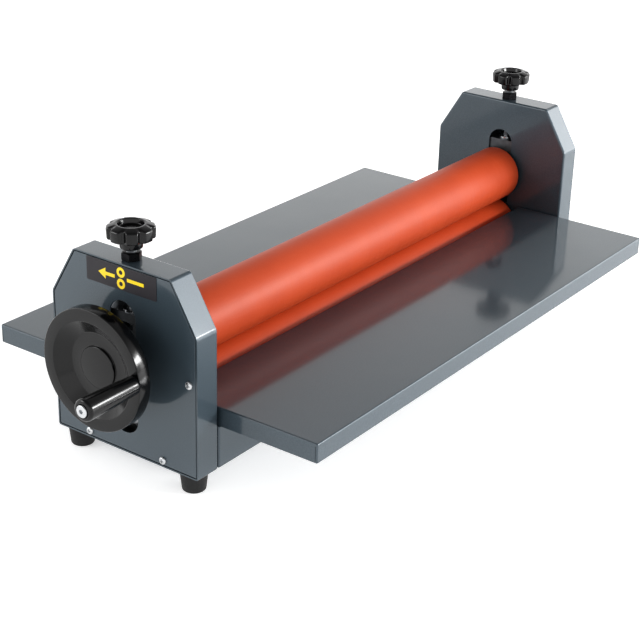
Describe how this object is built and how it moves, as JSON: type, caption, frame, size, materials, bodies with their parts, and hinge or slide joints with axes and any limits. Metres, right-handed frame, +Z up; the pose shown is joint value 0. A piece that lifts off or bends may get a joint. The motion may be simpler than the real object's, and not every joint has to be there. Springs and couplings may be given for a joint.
{
  "type": "cold roll laminator",
  "caption": "Hand-cranked cold roll laminator with silicone pressure rollers between end housings, a feed table, an outfeed table, pressure knobs and rubber feet.",
  "frame": {"origin": "middle of the whole machine, handle included, on the surface it stands on", "axes": "+X along the rollers away from the handwheel, -Y towards the feed side where the sheet goes in, +Z up"},
  "size_m": [0.8374, 0.404, 0.2505],
  "materials": {
    "slate_powder_coat": "gloss powder coat",
    "silicone_rubber": "satin",
    "black_phenolic": "gloss moulding",
    "zinc_plated_steel": "bright zinc plate",
    "machined_steel": "turned",
    "blackened_steel": "black oxide",
    "cast_block": "machined",
    "black_rubber": "matt moulding",
    "label_film": "satin film"
  },
  "bodies": {
    "frame": {"end_tray_l": "slate_powder_coat", "end_tray_r": "slate_powder_coat", "end_cover_l": "slate_powder_coat", "end_cover_r": "slate_powder_coat", "cover_screws_l": "zinc_plated_steel", "cover_screws_r": "zinc_plated_steel", "cover_standoffs_l": "zinc_plated_steel", "cover_standoffs_r": "zinc_plated_steel", "label_plate": "label_film", "base_channel": "slate_powder_coat", "base_bolts": "zinc_plated_steel", "base_nuts": "zinc_plated_steel", "front_table": "slate_powder_coat", "rear_table": "slate_powder_coat", "table_rails": "slate_powder_coat", "table_screws": "zinc_plated_steel", "guide_rails_l": "machined_steel", "guide_rails_r": "machined_steel", "lower_block_l": "cast_block", "lower_block_r": "cast_block", "lower_block_screws": "zinc_plated_steel", "lower_bearing_outer": "machined_steel", "screw_nut_l": "blackened_steel", "screw_nut_r": "blackened_steel", "screw_plate_l": "machined_steel", "screw_plate_r": "machined_steel", "foot_fl": "black_rubber", "foot_fr": "black_rubber", "foot_bl": "black_rubber", "foot_br": "black_rubber", "foot_screws": "zinc_plated_steel", "foot_nuts": "zinc_plated_steel"},
    "carriage": {"upper_block_l": "cast_block", "upper_block_r": "cast_block", "upper_bearing_outer": "machined_steel", "thrust_washers": "zinc_plated_steel"},
    "upper_roller": {"upper_tube": "machined_steel", "upper_sleeve": "silicone_rubber", "upper_journal_l": "machined_steel", "upper_journal_r": "machined_steel", "upper_bearing_inner": "machined_steel", "upper_bearing_balls": "machined_steel", "upper_circlips": "machined_steel", "handwheel": "black_phenolic", "wheel_set_screw": "blackened_steel", "handle_pin": "zinc_plated_steel"},
    "handle": {"handle_grip": "black_phenolic"},
    "lower_roller": {"lower_tube": "machined_steel", "lower_sleeve": "silicone_rubber", "lower_journals": "machined_steel", "lower_bearing_inner": "machined_steel", "lower_bearing_balls": "machined_steel", "lower_circlips": "machined_steel"},
    "knob_left": {"knob_l": "black_phenolic", "press_screw_l": "machined_steel", "screw_clip_l": "zinc_plated_steel"},
    "knob_right": {"knob_r": "black_phenolic", "press_screw_r": "machined_steel", "screw_clip_r": "zinc_plated_steel"}
  },
  "joints": [
    {"name": "roller_lift", "type": "slide", "parent": "frame", "child": "carriage", "axis": [0, 0, 1], "range_m": [0, 0.023]},
    {"name": "upper_spin", "type": "hinge", "parent": "carriage", "child": "upper_roller", "pos_m": [0.05125, 0, 0.123], "axis": [1, 0, 0], "continuous": true},
    {"name": "handle_spin", "type": "hinge", "parent": "upper_roller", "child": "handle", "pos_m": [-0.38125, -0.05387, 0.12677], "axis": [1, 0, 0], "continuous": true},
    {"name": "lower_spin", "type": "hinge", "parent": "frame", "child": "lower_roller", "pos_m": [0.05125, 0, 0.0576], "axis": [1, 0, 0], "continuous": true},
    {"name": "knob_l_turn", "type": "hinge", "parent": "carriage", "child": "knob_left", "pos_m": [-0.29325, 0, 0.23], "axis": [0, 0, 1], "range_deg": [0, 5520.01]},
    {"name": "knob_r_turn", "type": "hinge", "parent": "carriage", "child": "knob_right", "pos_m": [0.39575, 0, 0.23], "axis": [0, 0, 1], "range_deg": [0, 5520.01]}
  ],
  "couplings": [
    {"joint": "knob_l_turn", "follows": "roller_lift", "rad_per_m": 4188.8},
    {"joint": "knob_r_turn", "follows": "roller_lift", "rad_per_m": 4188.8},
    {"joint": "lower_spin", "follows": "upper_spin", "ratio": -1}
  ]
}
